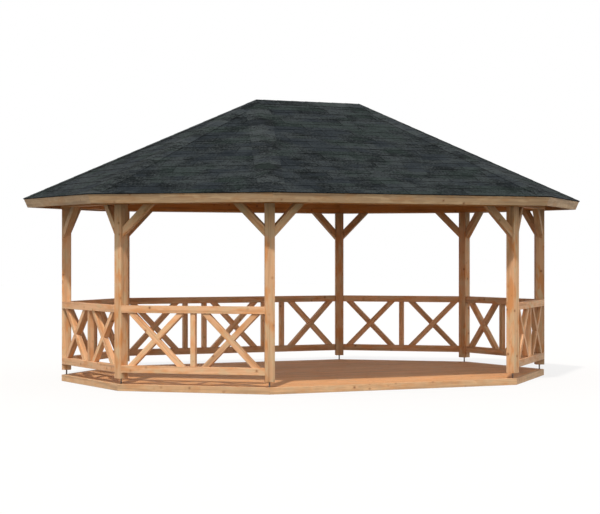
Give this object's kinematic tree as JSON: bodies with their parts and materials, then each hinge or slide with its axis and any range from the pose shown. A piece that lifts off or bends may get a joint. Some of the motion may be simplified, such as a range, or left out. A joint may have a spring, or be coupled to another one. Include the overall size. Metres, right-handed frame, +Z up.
{
  "type": "garden gazebo",
  "caption": "Open timber garden gazebo on an elongated octagonal deck, with crossed-bar railings, knee-braced posts and a shingled hip roof.",
  "frame": {"origin": "on the ground, at the centre of the plan", "axes": "+Z up, front entrance towards -Y, the two long sides along X"},
  "size_m": [7.0248, 5.5148, 3.6178],
  "materials": {
    "deck_timber": "matt, warm brown impregnated softwood",
    "frame_timber": "matt, honey-brown impregnated softwood with knots",
    "railing_timber": "matt, honey-brown impregnated softwood with knots",
    "roof_timber": "matt, honey-brown impregnated softwood boards",
    "shingle": "matt, mineral-granule bitumen shingle, dark grey-green",
    "rod_steel": "dull galvanised"
  },
  "bodies": {
    "root": {"deck_floor": "deck_timber", "deck_joists": "deck_timber", "deck_edge_boards": "deck_timber", "post_rods": "rod_steel", "post_front_left": "frame_timber", "post_front_right": "frame_timber", "post_right_front": "frame_timber", "post_right_back": "frame_timber", "post_back_right": "frame_timber", "post_back_left": "frame_timber", "post_left_back": "frame_timber", "post_left_front": "frame_timber", "ring_beam_front": "frame_timber", "knee_braces_front": "frame_timber", "ring_beam_front_right": "frame_timber", "knee_braces_front_right": "frame_timber", "railing_front_right": "railing_timber", "ring_beam_right": "frame_timber", "knee_braces_right": "frame_timber", "railing_right": "railing_timber", "ring_beam_back_right": "frame_timber", "knee_braces_back_right": "frame_timber", "railing_back_right": "railing_timber", "ring_beam_back": "frame_timber", "knee_braces_back": "frame_timber", "railing_back": "railing_timber", "ring_beam_back_left": "frame_timber", "knee_braces_back_left": "frame_timber", "railing_back_left": "railing_timber", "ring_beam_left": "frame_timber", "knee_braces_left": "frame_timber", "railing_left": "railing_timber", "ring_beam_front_left": "frame_timber", "knee_braces_front_left": "frame_timber", "railing_front_left": "railing_timber", "hip_rafters": "frame_timber", "common_rafters": "frame_timber", "ridge_beam": "frame_timber", "ridge_blocks": "frame_timber", "roof_boarding": "roof_timber", "fascia_boards": "roof_timber", "roof_shingles": "shingle", "roof_capping": "shingle"}
  },
  "joints": []
}
